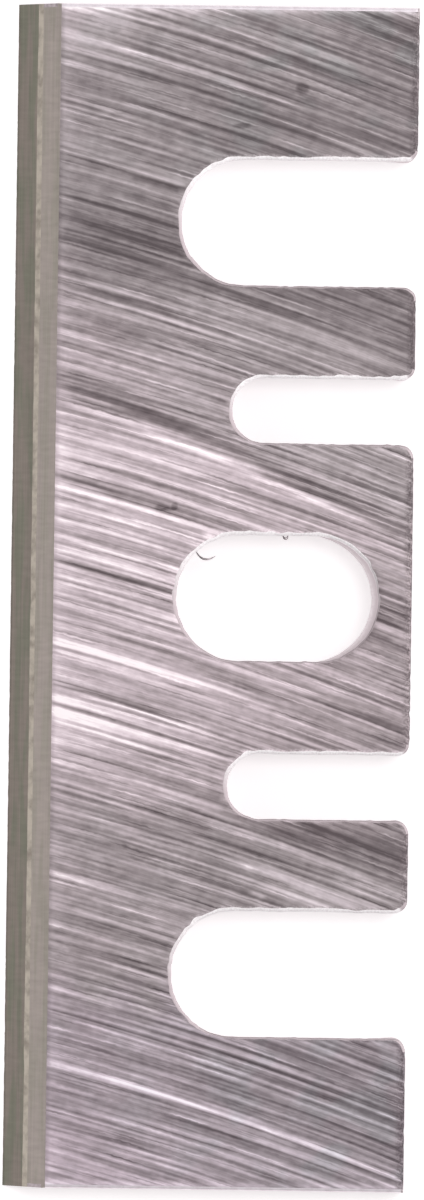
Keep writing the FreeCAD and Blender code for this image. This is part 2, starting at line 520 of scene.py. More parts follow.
@dataclass(frozen=True)
class GroundFace(Finish):
    """Coarse ground mild steel, purple-grey, with arcs of light and dark lines.

    Attributes:
        lay: The course of the lines.
        layers: The streaks between the lines of the mesh.
        glints: The layer whose highest and lowest places are the boldest streaks.
        glint_span, glint_tone, scratch_span, scratch_tone: Where in it pale and dark ones show, and
            how pale and dark they are.
        zones, zone_span: How pale the steel is across the lay, from 0 to 255, and half its reach.
        heel_fall: How much darker each millimetre towards the heel is.
        blade: The knife's section.
        nicks, nick_tone: Small dents, and how much darker they are.
        fuzz, fuzz_reach: How far, and in what lumps, the lines' borders stray.
        flecks, fleck_span, fleck_tone: Painted glitter on rims that catch the light.
        grain, grain_tone, mottle, mottle_tone: Fine and broad unevenness.
        dull_contrast, pale_contrast, pale_span: How strong the lines are, how much stronger in pale
            zones, and which tones count as pale.
        joint_contrast, joint_span: Share of that strength at the bevel's joint, and where it grows.
        end_span, end_glow: Where a painted highlight makes the steel paler towards its ends, and how much.
        front_span, front_glow, shade_span, joint_shade: How far behind the joint the steel is paler,
            how much, and the same for the thin dark line at the joint.
        colours: The steel's colour for each tone.
        hue_drift, spots, spot_lumps: Lumps of the washes of hue, and which lumps are spots.
        cool, lilac, spot: The washes: on dark parts, beyond lilac_span, and in spots beyond spot_span.
        warm_span, warm_fall, warm_drift: Tones between which the cool wash ends, and how far they move
            towards the heel and with the lumps.
        lilac_drift: How far the lilac wash's border strays.
        spot_fade, spot_front: Y between which spots get stronger, and their strength before it.
        roughness: How dull the steel is.
        bump_depth: Depth of the finest lines, in millimetres.
    """

    lay: Lay = Lay()
    layers: tuple[Streaks, ...] = (
        Streaks(0.22, 1.8, 0.18, 0.0, 1.0),
        Streaks(0.24, 9.0, 0.39, 0.006, 1.0),
        Streaks(0.5, 15.0, 0.20, -0.004, 1.0),
        Streaks(1.2, 20.0, 0.12, 0.003, 1.0),
        Streaks(3.6, 20.0, 0.16, -0.01, 1.0),
    )
    glints: Streaks = Streaks(0.22, 7.0, 1.0, -0.006, 1.0)
    glint_span: Span = (0.13, 0.24)
    glint_tone: float = 0.15
    scratch_span: Span = (0.14, 0.25)
    scratch_tone: float = 0.14
    zones: tuple[Span, ...] = (
        (-44.0, 144), (-37.0, 134), (-30.0, 136), (-24.0, 122), (-17.0, 150), (-12.0, 156),
        (-8.0, 180), (2.0, 184), (13.0, 172), (18.0, 148), (38.0, 148), (44.0, 172),
    )
    zone_span: float = 48.0
    heel_fall: float = 0.0075
    blade: Blade = field(default_factory=Blade.measured)
    nicks: tuple[Nick, ...] = (
        Nick(-6.18, -3.5, 0.24, 0.5),
        Nick(-6.1, -2.9, 0.14, 0.6),
        Nick(-6.3, -2.6, 0.26, 0.24),
        Nick(-32.7, 1.7, 0.2, 0.6),
        Nick(-35.3, 5.85, 0.44, 0.46),
    )
    nick_tone: float = 0.16
    fuzz: Speckle = Speckle(0.3, 0.45, 31.0)
    fuzz_reach: float = 0.14
    flecks: Speckle = Speckle(0.16, 0.16, 41.0)
    fleck_span: Span = (0.4, 0.6)
    fleck_tone: float = 0.25
    grain: Speckle = Speckle(0.24, 0.34, 3.0)
    grain_tone: float = 0.06
    mottle: Speckle = Speckle(0.6, 1.0, 51.0)
    mottle_tone: float = 0.16
    dull_contrast: float = 0.7
    pale_contrast: float = 0.36
    pale_span: Span = (0.46, 0.66)
    joint_contrast: float = 0.45
    joint_span: Span = (-0.2, 0.6)
    end_span: Span = (0.8, 0.15)
    end_glow: float = 0.2
    front_span: Span = (0.1, 1.8)
    front_glow: float = 0.035
    shade_span: Span = (0.0, 0.35)
    joint_shade: float = 0.07
    colours: tuple[tuple[float, Colour], ...] = (
        (0.30, tint(92, 82, 85)), (0.44, tint(121, 110, 113)), (0.59, tint(157, 145, 148)),
        (0.75, tint(196, 181, 187)), (0.92, tint(236, 221, 227)), (1.0, tint(252, 242, 245)),
    )
    hue_drift: Speckle = Speckle(3.0, 3.0, 23.0)
    spots: Speckle = Speckle(2.6, 3.4, 11.0)
    spot_lumps: Span = (0.48, 0.64)
    cool: Colour = (0.981, 1.02, 1.005, 1.0)
    lilac: Colour = (1.012, 0.995, 1.045, 1.0)
    spot: Colour = (0.952, 1.012, 1.0, 1.0)
    warm_span: Span = (0.54, 0.69)
    warm_fall: float = 0.005
    warm_drift: float = 0.12
    lilac_span: Span = (25.0, 30.0)
    lilac_drift: float = 8.0
    spot_span: Span = (22.0, 32.0)
    spot_fade: Span = (-5.0, 5.0)
    spot_front: float = 0.2
    roughness: float = 0.42
    bump_depth: float = 0.004

    def paint(self, shader: Shader) -> dict:
        """Adds the streaks' nodes.

        Args:
            shader: Writes the material's tree.

        Returns:
            The Principled shader's inputs by name.
        """
        x, y, _ = shader.place()
        x = x + (self.fuzz.at(shader, x, y) - 0.5) * self.fuzz_reach
        reach = 2 * self.zone_span
        stops = [(across / reach + 0.5, (*[pale / 255] * 3, 1.0)) for across, pale in self.zones]
        zone = shader.ramp(self.lay.across(x, y) / reach + 0.5, stops)
        level = Value(shader, shader.node("ShaderNodeSeparateColor", None, {"Color": zone}).outputs["Red"])
        tone = self._tone(shader, x, y, level)
        return {
            "Base Color": self._washed(shader, shader.ramp(tone, self.colours), x, y, level),
            "Metallic": 1.0,
            "Roughness": self.roughness,
            "Normal": shader.bump(tone, self.bump_depth * MM),
        }

    def _streaks(self, shader: Shader, x: Value, y: Value) -> Value:
        """Adds up the ground lines of mesh and layers.

        Args:
            shader: Writes the tree.
            x, y: The place on the knife.

        Returns:
            The lines' change of tone, around 0.
        """
        streaks = shader.mark(SCORE_ATTRIBUTE)
        for layer in self.layers:
            streaks = streaks + layer.tone(shader, self.lay, x, y)
        glint = self.glints.tone(shader, self.lay, x, y)
        streaks = streaks + glint.rise(*self.glint_span) * self.glint_tone
        return streaks - (0.0 - glint).rise(*self.scratch_span) * self.scratch_tone

    def _tone(self, shader: Shader, x: Value, y: Value, level: Value) -> Value:
        """Works out how pale the steel is.

        Args:
            shader: Writes the tree.
            x, y: The place on the knife.
            level: The zone's tone.

        Returns:
            The tone, from 0 to 1.
        """
        past = y - self.blade.bevel_top
        contrast = level.rise(*self.pale_span) * self.pale_contrast + self.dull_contrast
        joint = self.joint_contrast
        contrast = contrast * (past.rise(*self.joint_span) * (1 - joint) + joint)
        tone = level * (1.0 - y * self.heel_fall) + self._streaks(shader, x, y) * contrast
        # Painted glitter where the mesh's painted light marks rims pale.
        flecks = self.flecks.at(shader, x, y).rise(*self.fleck_span)
        tone = tone + shader.mark(PAINTED_LIGHT_ATTRIBUTE) * flecks * self.fleck_tone
        # Painted highlight: the steel gets paler towards the broken ends.
        end_start, end_stop = ((self.blade.half - inset) ** 2 for inset in self.end_span)
        tone = tone + (x * x).rise(end_start, end_stop) * self.end_glow
        tone = tone + (1.0 - past.rise(*self.front_span)) * self.front_glow
        tone = tone - (1.0 - past.rise(*self.shade_span)) * self.joint_shade
        tone = tone + (self.grain.at(shader, x, y) - 0.5) * self.grain_tone
        tone = tone + (self.mottle.at(shader, x, y) - 0.5) * self.mottle_tone
        for nick in self.nicks:
            tone = tone - nick.depth(shader, x, y) * self.nick_tone
        return tone

    def _washed(
        self, shader: Shader, colour: bpy.types.NodeSocket, x: Value, y: Value, level: Value
    ) -> bpy.types.NodeSocket:
        """Lays faint washes of hue over the steel: cool dark parts, a lilac end and grey spots.

        Args:
            shader: Writes the tree.
            colour: The steel's colour.
            x, y: The place on the knife.
            level: The zone's tone.

        Returns:
            The washed colour's socket.
        """
        drift = self.hue_drift.at(shader, x, y) - 0.5
        warmth = (level - y * self.warm_fall + drift * self.warm_drift).rise(*self.warm_span)
        colour = shader.blend(1.0 - warmth, colour, self.cool, "MULTIPLY")
        lilac = (x + drift * self.lilac_drift).rise(*self.lilac_span)
        colour = shader.blend(lilac, colour, self.lilac, "MULTIPLY")
        back = y.rise(*self.spot_fade) * (1 - self.spot_front) + self.spot_front
        ends = (x * x).rise(*(place ** 2 for place in self.spot_span)) * back
        spots = self.spots.at(shader, x, y).rise(*self.spot_lumps)
        return shader.blend(spots * ends, colour, self.spot, "MULTIPLY")


@dataclass(frozen=True)
class FineGround(Finish):
    """Finely ground steel in two hues, with marks across the edge and soft bands along it.

    Attributes:
        colour, patch: The two hues.
        mark_strength, band_strength: How far marks and bands change the tone.
        edge_shade, edge_span: How much darker the cutting edge is, and the heights where that ends.
        marks, bands, patches, patch_span: Lumps of each, and which lumps have the second hue.
        roughness: How dull the steel is.
        bump_depth: Depth of the marks, in millimetres.
    """

    colour: Colour
    patch: Colour
    mark_strength: float = 0.24
    band_strength: float = 0.24
    edge_shade: float = 0.0
    edge_span: Span = (0.04, 0.2)
    marks: Speckle = Speckle(0.35, 2.5, 5.0, 3.0)
    bands: Speckle = Speckle(22.0, 0.22, 9.0)
    patches: Speckle = Speckle(6.0, 1.1, 15.0, 2.0)
    patch_span: Span = (0.42, 0.62)
    roughness: float = 0.38
    bump_depth: float = 0.003

    def paint(self, shader: Shader) -> dict:
        """Adds the marks' nodes.

        Args:
            shader: Writes the material's tree.

        Returns:
            The Principled shader's inputs by name.
        """
        x, y, z = shader.place()
        slope = y + z
        marks = self.marks.at(shader, x, slope) - 0.5
        bands = self.bands.at(shader, x, slope) - 0.5
        patches = self.patches.at(shader, x, slope).rise(*self.patch_span)
        shade = 1.0 + marks * self.mark_strength + bands * self.band_strength
        if self.edge_shade:
            shade = shade - (1.0 - z.rise(*self.edge_span)) * self.edge_shade
        light = shader.node("ShaderNodeCombineColor", None, {"Red": shade, "Green": shade, "Blue": shade})
        colour = shader.blend(patches, self.colour, self.patch)
        colour = shader.blend(1.0, colour, light.outputs["Color"], "MULTIPLY")
        return {
            "Base Color": colour,
            "Metallic": 1.0,
            "Roughness": self.roughness,
            "Normal": shader.bump(marks + 0.5, self.bump_depth * MM),
        }


@dataclass(frozen=True)
class CutSteel(Finish):
    """Cut and broken steel with lumps of two tones.

    Attributes:
        dark, pale: The two tones.
        lump, flow: Size of the lumps, and how many times taller than wide they are.
        balance, blur: How much of the surface is dark, and how softly the tones meet.
        roughness: How dull it is.
        marked, mark_span, lump_share: Whether the mesh's painted light says where it is pale, from which
        mark to which it gets paler, and how much the lumps still change there.
        bump_depth: Depth of the lumps, in millimetres.
    """

    dark: Colour
    pale: Colour
    lump: float
    flow: float = 1.0
    balance: float = 0.5
    blur: float = 0.22
    roughness: float = 0.45
    marked: bool = False
    mark_span: Span = (-0.15, 0.35)
    lump_share: float = 0.3
    bump_depth: float = 0.01

    def paint(self, shader: Shader) -> dict:
        """Adds the lumps' nodes.

        Args:
            shader: Writes the material's tree.

        Returns:
            The Principled shader's inputs by name.
        """
        x, y, z = shader.place()
        lumps = shader.noise(x / self.lump, y / self.lump, z / (self.lump * self.flow), 3.0)
        share = lumps.rise(self.balance - self.blur, self.balance + self.blur)
        # Painted light from the mesh: highlight on rims, reflection of the floor on slot walls.
        if self.marked:
            share = share * self.lump_share + (1 - self.lump_share)
            share = share * shader.mark(PAINTED_LIGHT_ATTRIBUTE).rise(*self.mark_span)
        return {
            "Base Color": shader.blend(share, self.dark, self.pale),
            "Metallic": 1.0,
            "Roughness": self.roughness,
            "Normal": shader.bump(lumps, self.bump_depth * MM),
        }


class KnifeFinish(Enum):
    """The finishes of the knife's surfaces; each piece's material slots follow the order of first use."""

    FACE = GroundFace()
    BEVEL = FineGround(tint(176, 166, 160), tint(168, 161, 152), mark_strength=0.32)
    WALL = CutSteel(tint(168, 156, 160), tint(208, 196, 200), lump=0.22, flow=8.0)
    # Slot walls: a paler copy of the wall's steel, painted reflection of the floor, palest where the mesh marks
    # it.
    SLOT_WALL = CutSteel(
        tint(200, 188, 192), tint(255, 250, 252), lump=0.22, flow=8.0, roughness=0.5, marked=True
    )
    # Slot rims: pale steel, a painted highlight where the mesh marks them.
    RIM = CutSteel(tint(190, 177, 181), tint(255, 250, 252), lump=0.14, roughness=0.5, marked=True)
    LOWER_RIM = CutSteel(tint(150, 139, 142), tint(190, 178, 181), lump=0.3, roughness=0.4)
    # Broken end edges: pale steel, a painted highlight.
    END_BREAK = CutSteel(
        tint(226, 214, 221), tint(243, 234, 240), lump=0.6, balance=0.45, roughness=0.42
    )
    FLAT_SIDE = FineGround(tint(160, 152, 151), tint(150, 144, 142))
    EDGE_STEEL = FineGround(
        tint(144, 135, 127), tint(132, 131, 118), mark_strength=0.32, band_strength=0.34, edge_shade=0.22
    )
    STRIP_FLAT = FineGround(tint(147, 139, 132), tint(139, 136, 126))
    BRAZE = CutSteel(tint(158, 149, 139), tint(201, 192, 179), lump=0.8, balance=0.45, roughness=0.4)
    BURR = CutSteel(tint(128, 119, 122), tint(190, 180, 183), lump=0.2, roughness=0.4)

    def made(self) -> bpy.types.Material:
        """Gives the finish's material, which is made the first time."""
        name = f"knife_{self.name.lower()}"
        return bpy.data.materials.get(name) or self.value.material(name)


# Mesh writing

LATTICE_GAP = 0.55  # least distance of a lattice point from a border, in lattice steps
SAME_PLACE = 1e-7  # distance below which two flat places count as one
WITHIN_LOOPS = 2  # tells the triangulation to keep what lies within the loops
SHARP_ANGLE = math.radians(28)  # angle above which an edge stays sharp


def within(places: np.ndarray, loop: np.ndarray) -> np.ndarray:
    """Tells which places lie inside a closed line.

    Args:
        places: Places in a plane, one a row.
        loop: The line's corners in order.

    Returns:
        True for each place inside.
    """
    inside = np.zeros(len(places), bool)
    for (ax, ay), (bx, by) in zip(loop, np.roll(loop, -1, axis=0)):
        if ay != by:
            crossed = (ay > places[:, 1]) != (by > places[:, 1])
            inside ^= crossed & (places[:, 0] < ax + (places[:, 1] - ay) * (bx - ax) / (by - ay))
    return inside


def lattice_clear_of(border: np.ndarray) -> np.ndarray:
    """Gives the middles of unit squares over a flat region, but none close to its border's points.

    Args:
        border: The border's places, one a row.

    Returns:
        The lattice's places, one a row.
    """
    spans = zip(np.floor(border.min(0)), np.ceil(border.max(0)))
    lattice = np.stack(np.meshgrid(*(np.arange(low, high) + 0.5 for low, high in spans)), -1).reshape(-1, 2)
    tree = KDTree(len(border))
    for number, (u, v) in enumerate(border):
        tree.insert((u, v, 0.0), number)
    tree.balance()
    clear = [tree.find((u, v, 0.0))[2] > LATTICE_GAP for u, v in lattice]
    return lattice[np.array(clear, bool)]


class Mesher:
    """Collects one piece's points and faces, in millimetres, with every point shared by its faces."""

    def __init__(self) -> None:
        """Starts with no points."""
        self._points: list[np.ndarray] = []
        self._count = 0
        self._faces: list[tuple[int, ...]] = []
        self._finishes: list[KnifeFinish] = []
        self._finish_of: list[int] = []

    @property
    def points(self) -> np.ndarray:
        """All points so far, one a row."""
        self._points = [np.concatenate(self._points)]
        return self._points[0]

    def add(self, points: np.ndarray) -> np.ndarray:
        """Adds points.

        Args:
            points: Places in millimetres, with any arrangement of rows before the last axis.

        Returns:
            The points' numbers, in that arrangement.
        """
        numbers = self._count + np.arange(points[..., 0].size).reshape(points.shape[:-1])
        self._points.append(points.reshape(-1, 3).astype(float))
        self._count += numbers.size
        return numbers

    def lower(self, numbers: np.ndarray, depth: np.ndarray) -> None:
        """Moves points down, each by its depth."""
        self.points[numbers, 2] -= depth

    def keep(self, faces: np.ndarray, finish: KnifeFinish) -> None:
        """Adds faces that share one finish.

        Args:
            faces: Point numbers, one face a row.
            finish: Their finish.
        """
        if finish not in self._finishes:
            self._finishes.append(finish)
        self._faces.extend(map(tuple, faces.tolist()))
        self._finish_of.extend([self._finishes.index(finish)] * len(faces))

    def sweep(self, rows: np.ndarray, bands: Sequence[tuple[int, KnifeFinish]], end: KnifeFinish) -> None:
        """Closes a bar whose section runs round through rows that lie along the knife.

        Args:
            rows: Point numbers, one row along the knife a line.
            bands: How many rows of faces each finish takes, in order.
            end: The finish of the bar's two ends.
        """
        rows = np.concatenate([rows, rows[:1]])
        first = 0
        for count, finish in bands:
            self.wall(rows[first:first + count + 1], finish)
            first += count
        for column in (0, -1):
            self.cap(rows[:-1, column], end)

    def cap(self, loop: np.ndarray, finish: KnifeFinish, step: float = 0.3) -> None:
        """Closes a loop that lies square across the knife.

        Args:
            loop: The loop's point numbers.
            finish: The finish inside it.
            step: Size of the triangles.
        """
        x = self.points[loop[0], 0]
        self.fill(
            [loop],
            lambda points: points[:, 1:] / step,
            lambda flat: np.column_stack([np.full(len(flat), x), flat * step]),
            finish,
        )

    def wall(self, rows: np.ndarray, finish: KnifeFinish, closed: bool = False) -> None:
        """Joins rows of points with four-sided faces.

        Args:
            rows: Point numbers, one row of points a line.
            finish: The wall's finish.
            closed: Whether each row runs round to its start.
        """
        if closed:
            rows = np.concatenate([rows, rows[:, :1]], axis=1)
        corners = (rows[:-1, :-1], rows[:-1, 1:], rows[1:, 1:], rows[1:, :-1])
        self.keep(np.stack(corners, -1).reshape(-1, 4), finish)

    def fill(
        self,
        loops: Sequence[np.ndarray],
        spread: Callable[[np.ndarray], np.ndarray],
        lift: Callable[[np.ndarray], np.ndarray],
        finish: KnifeFinish,
    ) -> np.ndarray:
        """Fills a flat region with triangles around a lattice of new points.

        Args:
            loops: Point numbers of the region's outline and holes.
            spread: Lays points out flat, with one lattice step a unit.
            lift: Turns flat places back into points.
            finish: The region's finish.

        Returns:
            The numbers of all points of the region.
        """
        border = np.concatenate(loops)
        flat = spread(self.points[border])
        lattice = lattice_clear_of(flat)
        starts = np.cumsum([0] + [len(loop) for loop in loops[:-1]])
        edges = [
            (int(start + k), int(start + (k + 1) % len(loop)))
            for start, loop in zip(starts, loops) for k in range(len(loop))
        ]
        places = [Vector(place) for place in np.concatenate([flat, lattice])]
        _, _, triangles, sources, _, _ = delaunay_2d_cdt(places, edges, [], WITHIN_LOOPS, SAME_PLACE)
        triangles = np.array(triangles)
        middles = np.array([place.to_tuple() for place in places])
        corners = np.array([middles[sources[k][0]] for k in range(len(sources))])[triangles].mean(1)
        for loop, start in zip(loops[1:], starts[1:]):
            hole = within(corners, flat[start:start + len(loop)])
            triangles, corners = triangles[~hole], corners[~hole]
        used = np.unique(triangles)
        inner = np.array([sources[k][0] for k in used]) - len(flat)
        fresh = inner >= 0
        numbers = np.full(len(sources), -1)
        numbers[used[~fresh]] = border[inner[~fresh] + len(flat)]
        numbers[used[fresh]] = self.add(lift(lattice[inner[fresh]]))
        self.keep(numbers[triangles], finish)
        return numbers[used]

    def build(self, name: str, marks: dict[str, np.ndarray] | None = None) -> bpy.types.Object:
        """Makes the piece.

        Args:
            name: The piece's name.
            marks: What finishes read from each point, by attribute name.

        Returns:
            The new object, in metres.
        """
        mesh = bpy.data.meshes.new(name)
        mesh.from_pydata((self.points * MM).tolist(), [], self._faces)
        for finish in self._finishes:
            mesh.materials.append(finish.made())
        mesh.polygons.foreach_set("material_index", self._finish_of)
        for attribute, values in (marks or {}).items():
            mesh.attributes.new(attribute, "FLOAT", "POINT").data.foreach_set("value", values)
        work = bmesh.new()
        work.from_mesh(mesh)
        bmesh.ops.recalc_face_normals(work, faces=work.faces)
        work.to_mesh(mesh)
        work.free()
        mesh.shade_smooth()
        mesh.set_sharp_from_angle(angle=SHARP_ANGLE)
        return placed(name, mesh)


STRAY_LIMIT = 2.0  # how far a course may stray where its use needs a limit


def held(course: np.ndarray) -> np.ndarray:
    """Cuts off the few places where a random course strays beyond the limit."""
    return np.clip(course, -STRAY_LIMIT, STRAY_LIMIT)


class Wander:
    """A smooth random course along a line, the same on every run."""

    def __init__(self, seed: int, wave: float, span: float) -> None:
        """Draws the course's knots, one a wave, round a span."""
        self.wave = span / max(round(span / wave), 1)
        self.knots = np.random.default_rng(seed).normal(size=max(round(span / wave), 1))

    def at(self, along: np.ndarray) -> np.ndarray:
        """Gives the course at places along the line.

        Args:
            along: The places.

        Returns:
            The course there, about -2 to 2.
        """
        whole = np.floor(along / self.wave).astype(int)
        part = along / self.wave - whole
        part = part * part * (3 - 2 * part)
        first, second = (self.knots[(whole + step) % len(self.knots)] for step in (0, 1))
        return first * (1 - part) + second * part


# The knife's pieces

STEP_SLACK = 1e-6  # share of a step that a run may be too long
AT_HEEL = 0.01  # distance within which a point lies on the heel, in millimetres


def line_points(corners: Profile, step: float) -> np.ndarray:
    """Divides a line of corners into short even runs.

    Args:
        corners: The line's corners.
        step: The longest run.

    Returns:
        The points, corners among them.
    """
    runs = []
    for start, end in zip(corners, corners[1:]):
        parts = max(math.ceil(math.dist(start, end) / step - STEP_SLACK), 1)
        runs.append(np.linspace(start, end, parts, endpoint=False))
    return np.concatenate(runs + [np.array([corners[-1]])])


@dataclass(frozen=True)
class RimLine:
    """A line in plan that a cut wall follows, with the side that it faces."""

    points: np.ndarray
    facing: np.ndarray
    closed: bool = False

    @staticmethod
    def straight(start: Place, end: Place, facing: Place, step: float) -> "RimLine":
        """Runs straight.

        Args:
            start: Where the line starts.
            end: Where it stops, one step short.
            facing: The side that it faces.
            step: The longest run.

        Returns:
            The line.
        """
        parts = max(round(math.dist(start, end) / step), 1)
        points = np.linspace(start, end, parts, endpoint=False)
        return RimLine(points, np.tile(facing, (parts, 1)).astype(float))

    @staticmethod
    def arc(centre: Place, radius: float, first: float, last: float, outward: bool, step: float) -> "RimLine":
        """Turns round a centre.

        Args:
            centre: The centre.
            radius: How far from it the line is.
            first, last: Angles in degrees where it starts and stops, one step short.
            outward: Whether it faces away from the centre.
            step: The longest run.

        Returns:
            The line.
        """
        parts = max(round(abs(math.radians(last - first)) * radius / step), 4)
        angles = np.radians(np.linspace(first, last, parts, endpoint=False))
        ray = np.stack([np.cos(angles), np.sin(angles)], -1)
        return RimLine(np.array(centre) + ray * radius, ray if outward else -ray)

    @staticmethod
    def joined(lines: Sequence["RimLine"], closed: bool = False) -> "RimLine":
        """Gives the lines as one."""
        points, facing = ([getattr(line, name) for line in lines] for name in ("points", "facing"))
        return RimLine(np.concatenate(points), np.concatenate(facing), closed)

    def travel(self) -> np.ndarray:
        """Gives how far along the line each point is."""
        steps = np.linalg.norm(np.diff(self.points, axis=0), axis=1)
        return np.concatenate([[0.0], np.cumsum(steps)])


@dataclass(frozen=True)
class CutWall:
    """How the heel and the slots are cut: rough walls between broken rims, and the light painted on them.

    Attributes:
        blade: The knife's section.
        rim_break: Height of the broken rims, and width of the lower one.
        rim_widths: Width of the upper rim without painted highlight, and what a full one adds, as shares
        of rim_break.
        rim_uneven: How uneven that width is.
        ragged, broad_share, streaked: Depth of the fine roughness, share of the broad, and depth of
            the streaks down the wall.
        waves: Length of the waves of fine and broad roughness, of the rim's width and of the streaks.
        rim, foot: Sections of the rims from the face down, as shares of their width and height.
        wall_rows: Rows of points between the rims.
        wall_smooth, foot_rough: How much roughness the wall loses downwards, and the foot keeps.
        heel_pale, side_swing: How pale the painted highlight is at the heel, and how much a side's
            direction adds or takes.
        mouth_fade: How far into a slot the heel's painted highlight reaches.
        mouth_reach, mouth_start: Over how far walls get their full form, and the share of that at
            which they start to.
        end_tones: How much darker painted shade makes rims that face the heel, and how much paler a
        painted highlight makes rims that face the cutting edge.
        undercut: How far walls are cut under.
        lean_in, lean_power: How far a heel end's foot stands out, and how quickly it does so from its
            sides: evenly at 1.
        wall_tones: Painted reflection of the floor on a wall: how pale it is at its top, and what its foot
        and a heel end's foot add.
    """

    blade: Blade
    rim_break: float = 0.15
    rim_widths: Span = (0.545, 1.3)
    rim_uneven: float = 0.15
    ragged: float = 0.017
    broad_share: float = 0.6
    streaked: float = 0.006
    waves: tuple[float, ...] = (0.35, 1.6, 0.55, 0.22)
    rim: Profile = ((1.0, 0.0), (0.5, 0.12), (0.04, 0.28), (0.0, 1.0))
    foot: Profile = ((0.0, 1.0), (0.1, 0.62), (0.42, 0.25), (1.0, 0.0))
    wall_rows: int = 7
    wall_smooth: float = 0.3
    foot_rough: float = 0.5
    heel_pale: float = 0.35
    side_swing: float = 0.36
    mouth_fade: float = 0.6
    mouth_reach: float = 1.5
    mouth_start: float = 0.6
    end_tones: Span = (0.55, 0.22)
    undercut: float = 0.1
    lean_in: float = 0.56
    lean_power: float = 0.6
    wall_tones: tuple[float, float, float] = (-0.12, 0.2, 0.32)

    def past_heel(self, line: RimLine) -> np.ndarray:
        """Gives how far in front of the heel each point is."""
        return self.blade.heel - line.points[:, 1]

    def paleness(self, line: RimLine) -> np.ndarray:
        """Gives how far each point catches the light, as a painted highlight.

        Args:
            line: The wall's line in plan.

        Returns:
            The paleness: 1 where a slot's -X side meets its closed end, and about 0 across from there.
        """
        share = 0.5 + self.side_swing * line.facing.sum(axis=1)
        reached = np.clip(self.past_heel(line) / self.mouth_fade, 0, 1)
        return self.heel_pale + (share - self.heel_pale) * reached

    def inside(self, line: RimLine) -> np.ndarray:
        """Gives 1 within a slot and 0 at the heel and the mouths' corners."""
        return np.clip(self.past_heel(line) / self.mouth_reach - self.mouth_start, 0, 1)

    def end_share(self, line: RimLine) -> np.ndarray:
        """Gives how far round a slot's heel end each point is: 0 on its sides, 1 in its middle."""
        return np.clip(-line.facing[:, 1], 0, 1) * self.inside(line)

    def lean(self, line: RimLine) -> np.ndarray:
        """Gives how far the wall's foot stands out into the slot, below 0 where it is cut under."""
        out = self.lean_in * self.end_share(line) ** self.lean_power
        return out - self.undercut * self.inside(line)

    def marks(self, line: RimLine) -> np.ndarray:
        """Gives each point's painted light: highlight on its rim, reflection on its wall by its height.

        Args:
            line: The wall's line in plan.

        Returns:
            The paleness, one row along the line for each height from the face down.
        """
        facing = line.facing[:, 1]
        # Painted highlight and shade on the rims, by the way they face.
        glow = self.paleness(line) - self.heel_pale - np.where(facing > 0, *self.end_tones) * facing
        # Painted reflection of the floor on the walls, paler towards the foot.
        fall = np.linspace(0, 1, self.wall_rows + len(self.foot))[:, None]
        top, foot, heel_end = self.wall_tones
        wall = fall * (heel_end * self.end_share(line) + foot) + top
        return np.concatenate([np.tile(glow, (len(self.rim), 1)), wall])

    def points(self, line: RimLine, seed: Seed) -> np.ndarray:
        """Gives the points of a cut wall with its broken rims.

        Args:
            line: The wall's line in plan.
            seed: Seed of its roughness.

        Returns:
            The points, one row along the line for each height from the face down to the flat side.
        """
        travel = line.travel()
        span = travel[-1] + self.blade.step
        fade = 1.0 if line.closed else np.clip(np.minimum(travel, span - travel), 0, 1)
        fine, broad, uneven, streak = (
            Wander(seed + number, wave, span).at(travel) for number, wave in enumerate(self.waves)
        )
        rough = (fine + self.broad_share * broad) * self.ragged * fade
        streak = streak * self.streaked * fade
        narrow, wider = self.rim_widths
        width = self.rim_break * (narrow + wider * self.paleness(line))
        width = width * (1 + self.rim_uneven * held(uneven) * fade)
        top, low = self.blade.thickness, self.rim_break
        lean, share = self.lean(line), self.end_share(line)
        rows = [(inset * width - rough, top - fall * low) for inset, fall in self.rim]
        for height in np.linspace(top - low, low, self.wall_rows + 2)[1:-1]:
            depth = 1 - height / top
            rows.append((-rough * (1 - self.wall_smooth * depth) + (streak - lean) * depth, height))
        for inset, rise in self.foot:
            rows.append((inset * low * (1 - share) - self.foot_rough * rough - lean, rise * low))
        points = []
        for inset, height in rows:
            place = line.points - line.facing * np.reshape(inset, (-1, 1))
            place[:, 1] = np.minimum(place[:, 1], self.blade.heel)
            points.append(np.column_stack([place, np.full(len(place), height)]))
        return np.stack(points)


@dataclass(frozen=True)
class Slot:
    """A slot across the knife: its middle, half width, and the centres of its round ends."""

    x: float
    reach: float
    inner_y: float
    outer_y: float | None = None

    def ring(self, step: float) -> RimLine:
        """Gives a closed slot's rim.

        Args:
            step: The longest run.

        Returns:
            The rim, round to its start.
        """
        left, right = self.x - self.reach, self.x + self.reach
        return RimLine.joined([
            RimLine.arc((self.x, self.inner_y), self.reach, 180, 360, False, step),
            RimLine.straight((right, self.inner_y), (right, self.outer_y), (-1, 0), step),
            RimLine.arc((self.x, self.outer_y), self.reach, 0, 180, False, step),
            RimLine.straight((left, self.outer_y), (left, self.inner_y), (1, 0), step),
        ], closed=True)

    def notch(self, heel: float, radius: float, step: float) -> RimLine:
        """Gives an open slot's rim with its rounded mouth.

        Args:
            heel: Y of the heel that it opens.
            radius: Radius of the mouth's corners.
            step: The longest run.

        Returns:
            The rim, from left to right along the heel.
        """
        left, right, low = self.x - self.reach, self.x + self.reach, heel - radius
        return RimLine.joined([
            RimLine.arc((left - radius, low), radius, 90, 0, True, step),
            RimLine.straight((left, low), (left, self.inner_y), (1, 0), step),
            RimLine.arc((self.x, self.inner_y), self.reach, 180, 360, False, step),
            RimLine.straight((right, self.inner_y), (right, low), (-1, 0), step),
            RimLine.arc((right + radius, low), radius, 180, 90, True, step),
        ])


@dataclass(frozen=True)
class Score:
    """One ground line of the face.

    Attributes:
        at: Its measure across the lay.
        y: Y of its middle.
        length: How far it runs across the knife.
        width: How wide it is.
        tone: How much paler it is than the face, below 0 where it is darker.
        turn: How far it turns from the lay.
        flank: How far its two flanks differ.
    """

    at: float
    y: float
    length: float
    width: float
    tone: float
    turn: float = 0.0
    flank: float = 0.0


